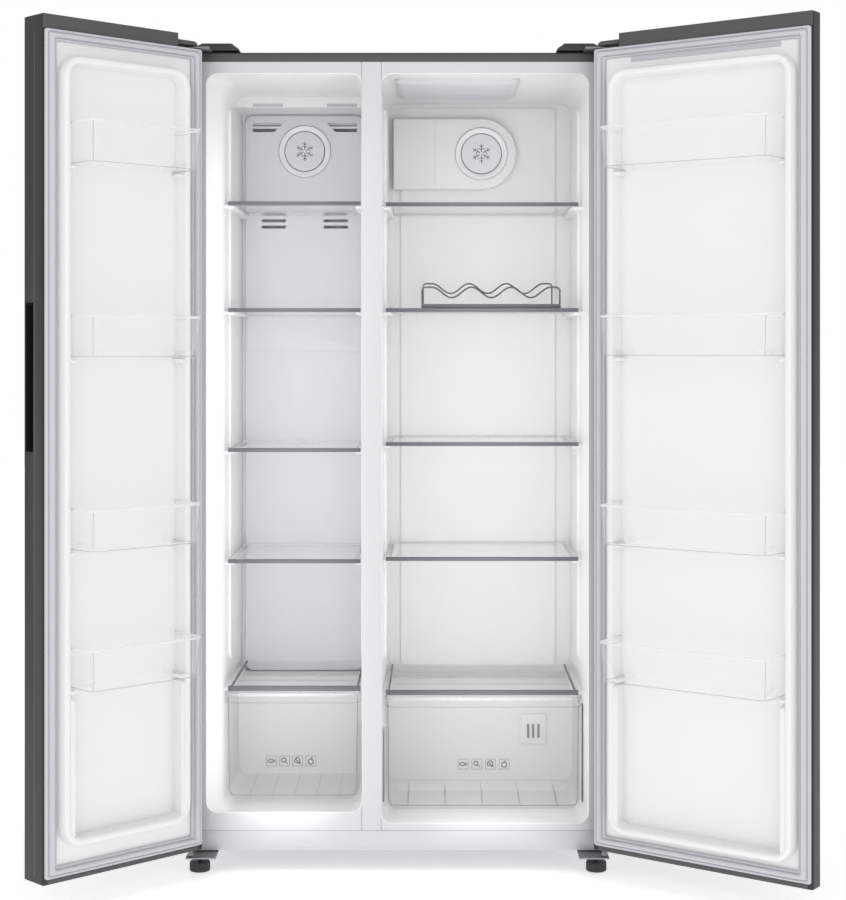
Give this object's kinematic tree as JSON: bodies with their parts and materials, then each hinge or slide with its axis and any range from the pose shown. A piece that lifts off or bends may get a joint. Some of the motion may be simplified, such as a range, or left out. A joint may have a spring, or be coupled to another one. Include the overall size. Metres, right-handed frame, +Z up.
{
  "type": "side by side refrigerator",
  "caption": "Tall two-door refrigerator with its doors open: freezer on the left, fridge on the right, glass shelves, door bins, drawers and a wire bottle rack.",
  "frame": {"origin": "middle of the footprint, open doors included, at floor level", "axes": "+X to the right across the front, +Y from the front into the cabinet, +Z up"},
  "size_m": [1.579, 0.9784, 1.7774],
  "materials": {
    "graphite_paint": "satin",
    "insulation_foam": "matte",
    "white_liner": "satin",
    "grey_plastic": "satin",
    "zinc_steel": "satin",
    "black_paint": "satin",
    "dark_plastic": "matte",
    "hinge_steel": "satin",
    "coil_aluminium": "satin",
    "lamp_lens": "gloss",
    "shelf_glass": "gloss",
    "clear_plastic": "gloss",
    "rack_wire": "polished",
    "gasket_rubber": "matte",
    "handle_plastic": "matte"
  },
  "bodies": {
    "cabinet": {"cabinet_shell": "graphite_paint", "cabinet_foam": "insulation_foam", "freezer_liner": "white_liner", "fridge_liner": "white_liner", "divider_strip": "white_liner", "base_plinth": "white_liner", "fridge_fan_housing": "white_liner", "freezer_duct_panel": "grey_plastic", "freezer_fan_cover": "grey_plastic", "fridge_fan_cover": "grey_plastic", "back_panel": "zinc_steel", "machine_cover": "zinc_steel", "machine_tray": "zinc_steel", "compressor": "black_paint", "cord_inlet": "dark_plastic", "hinge_cover_left": "dark_plastic", "hinge_cover_right": "dark_plastic", "top_hinge_left": "hinge_steel", "top_hinge_right": "hinge_steel", "bottom_hinge_left": "hinge_steel", "bottom_hinge_right": "hinge_steel", "evaporator": "coil_aluminium", "ceiling_lamp": "lamp_lens"},
    "freezer_door": {"freezer_door_skin": "graphite_paint", "freezer_door_foam": "insulation_foam", "freezer_door_liner": "white_liner", "freezer_door_gasket": "gasket_rubber", "freezer_door_handle": "handle_plastic"},
    "fridge_door": {"fridge_door_skin": "graphite_paint", "fridge_door_foam": "insulation_foam", "fridge_door_liner": "white_liner", "fridge_door_gasket": "gasket_rubber", "fridge_door_handle": "handle_plastic"},
    "freezer_fan": {"freezer_fan": "dark_plastic"},
    "fridge_fan": {"fridge_fan": "dark_plastic"},
    "foot_left": {"foot_left": "dark_plastic"},
    "foot_right": {"foot_right": "dark_plastic"},
    "roller_left": {"roller_left": "dark_plastic"},
    "roller_right": {"roller_right": "dark_plastic"},
    "wine_rack": {"wine_rack": "rack_wire"},
    "freezer_drawer": {"freezer_drawer": "clear_plastic"},
    "crisper_drawer": {"crisper_drawer": "clear_plastic"},
    "freezer_drawer_cover": {"freezer_drawer_cover": "shelf_glass"},
    "fridge_drawer_cover": {"fridge_drawer_cover": "shelf_glass"},
    "freezer_shelf_1": {"freezer_shelf_1": "shelf_glass"},
    "freezer_shelf_2": {"freezer_shelf_2": "shelf_glass"},
    "freezer_shelf_3": {"freezer_shelf_3": "shelf_glass"},
    "freezer_shelf_4": {"freezer_shelf_4": "shelf_glass"},
    "fridge_shelf_1": {"fridge_shelf_1": "shelf_glass"},
    "fridge_shelf_2": {"fridge_shelf_2": "shelf_glass"},
    "fridge_shelf_3": {"fridge_shelf_3": "shelf_glass"},
    "fridge_shelf_4": {"fridge_shelf_4": "shelf_glass"},
    "freezer_door_bin_1": {"freezer_door_bin_1": "clear_plastic"},
    "freezer_door_bin_2": {"freezer_door_bin_2": "clear_plastic"},
    "freezer_door_bin_3": {"freezer_door_bin_3": "clear_plastic"},
    "freezer_door_bin_4": {"freezer_door_bin_4": "clear_plastic"},
    "fridge_door_bin_1": {"fridge_door_bin_1": "clear_plastic"},
    "fridge_door_bin_2": {"fridge_door_bin_2": "clear_plastic"},
    "fridge_door_bin_3": {"fridge_door_bin_3": "clear_plastic"},
    "fridge_door_bin_4": {"fridge_door_bin_4": "clear_plastic"}
  },
  "joints": [
    {"name": "freezer_door_hinge", "type": "hinge", "parent": "cabinet", "child": "freezer_door", "pos_m": [-0.48836, -0.14081, 0.9], "axis": [0, 0, -1], "range_deg": [-135.8, 0]},
    {"name": "fridge_door_hinge", "type": "hinge", "parent": "cabinet", "child": "fridge_door", "pos_m": [0.38464, -0.14081, 0.9], "axis": [0, 0, 1], "range_deg": [-143.65, 0]},
    {"name": "freezer_door_bin_1_lift", "type": "slide", "parent": "freezer_door", "child": "freezer_door_bin_1", "axis": [0, 0, 1], "range_m": [0, 0.05]},
    {"name": "freezer_door_bin_2_lift", "type": "slide", "parent": "freezer_door", "child": "freezer_door_bin_2", "axis": [0, 0, 1], "range_m": [0, 0.05]},
    {"name": "freezer_door_bin_3_lift", "type": "slide", "parent": "freezer_door", "child": "freezer_door_bin_3", "axis": [0, 0, 1], "range_m": [0, 0.05]},
    {"name": "freezer_door_bin_4_lift", "type": "slide", "parent": "freezer_door", "child": "freezer_door_bin_4", "axis": [0, 0, 1], "range_m": [0, 0.05]},
    {"name": "fridge_door_bin_1_lift", "type": "slide", "parent": "fridge_door", "child": "fridge_door_bin_1", "axis": [0, 0, 1], "range_m": [0, 0.05]},
    {"name": "fridge_door_bin_2_lift", "type": "slide", "parent": "fridge_door", "child": "fridge_door_bin_2", "axis": [0, 0, 1], "range_m": [0, 0.05]},
    {"name": "fridge_door_bin_3_lift", "type": "slide", "parent": "fridge_door", "child": "fridge_door_bin_3", "axis": [0, 0, 1], "range_m": [0, 0.05]},
    {"name": "fridge_door_bin_4_lift", "type": "slide", "parent": "fridge_door", "child": "fridge_door_bin_4", "axis": [0, 0, 1], "range_m": [0, 0.05]},
    {"name": "freezer_shelf_1_slide", "type": "slide", "parent": "cabinet", "child": "freezer_shelf_1", "axis": [0, -1, 0], "range_m": [0, 0.25]},
    {"name": "freezer_shelf_2_slide", "type": "slide", "parent": "cabinet", "child": "freezer_shelf_2", "axis": [0, -1, 0], "range_m": [0, 0.25]},
    {"name": "freezer_shelf_3_slide", "type": "slide", "parent": "cabinet", "child": "freezer_shelf_3", "axis": [0, -1, 0], "range_m": [0, 0.25]},
    {"name": "freezer_shelf_4_slide", "type": "slide", "parent": "cabinet", "child": "freezer_shelf_4", "axis": [0, -1, 0], "range_m": [0, 0.25]},
    {"name": "freezer_drawer_cover_slide", "type": "slide", "parent": "cabinet", "child": "freezer_drawer_cover", "axis": [0, -1, 0], "range_m": [0, 0.25]},
    {"name": "fridge_shelf_1_slide", "type": "slide", "parent": "cabinet", "child": "fridge_shelf_1", "axis": [0, -1, 0], "range_m": [0, 0.25]},
    {"name": "fridge_shelf_2_slide", "type": "slide", "parent": "cabinet", "child": "fridge_shelf_2", "axis": [0, -1, 0], "range_m": [0, 0.25]},
    {"name": "fridge_shelf_3_slide", "type": "slide", "parent": "cabinet", "child": "fridge_shelf_3", "axis": [0, -1, 0], "range_m": [0, 0.25]},
    {"name": "fridge_shelf_4_slide", "type": "slide", "parent": "cabinet", "child": "fridge_shelf_4", "axis": [0, -1, 0], "range_m": [0, 0.25]},
    {"name": "fridge_drawer_cover_slide", "type": "slide", "parent": "cabinet", "child": "fridge_drawer_cover", "axis": [0, -1, 0], "range_m": [0, 0.25]},
    {"name": "freezer_drawer_slide", "type": "slide", "parent": "cabinet", "child": "freezer_drawer", "axis": [0, -1, 0], "range_m": [0, 0.24]},
    {"name": "crisper_drawer_slide", "type": "slide", "parent": "cabinet", "child": "crisper_drawer", "axis": [0, -1, 0], "range_m": [0, 0.24]},
    {"name": "wine_rack_lift", "type": "slide", "parent": "fridge_shelf_2", "child": "wine_rack", "axis": [0, 0, 1], "range_m": [0, 0.1]},
    {"name": "freezer_fan_spin", "type": "hinge", "parent": "cabinet", "child": "freezer_fan", "pos_m": [-0.28276, 0.36619, 1.589], "axis": [0, 1, 0], "continuous": true},
    {"name": "fridge_fan_spin", "type": "hinge", "parent": "cabinet", "child": "fridge_fan", "pos_m": [0.13694, 0.33619, 1.58], "axis": [0, 1, 0], "continuous": true},
    {"name": "foot_left_screw", "type": "hinge", "parent": "cabinet", "child": "foot_left", "pos_m": [-0.47686, -0.08381, 0.03], "axis": [0, 0, 1], "continuous": true},
    {"name": "foot_right_screw", "type": "hinge", "parent": "cabinet", "child": "foot_right", "pos_m": [0.37314, -0.08381, 0.03], "axis": [0, 0, 1], "continuous": true},
    {"name": "roller_left_spin", "type": "hinge", "parent": "cabinet", "child": "roller_left", "pos_m": [-0.46186, 0.43619, 0.02], "axis": [1, 0, 0], "continuous": true},
    {"name": "roller_right_spin", "type": "hinge", "parent": "cabinet", "child": "roller_right", "pos_m": [0.35814, 0.43619, 0.02], "axis": [1, 0, 0], "continuous": true}
  ]
}
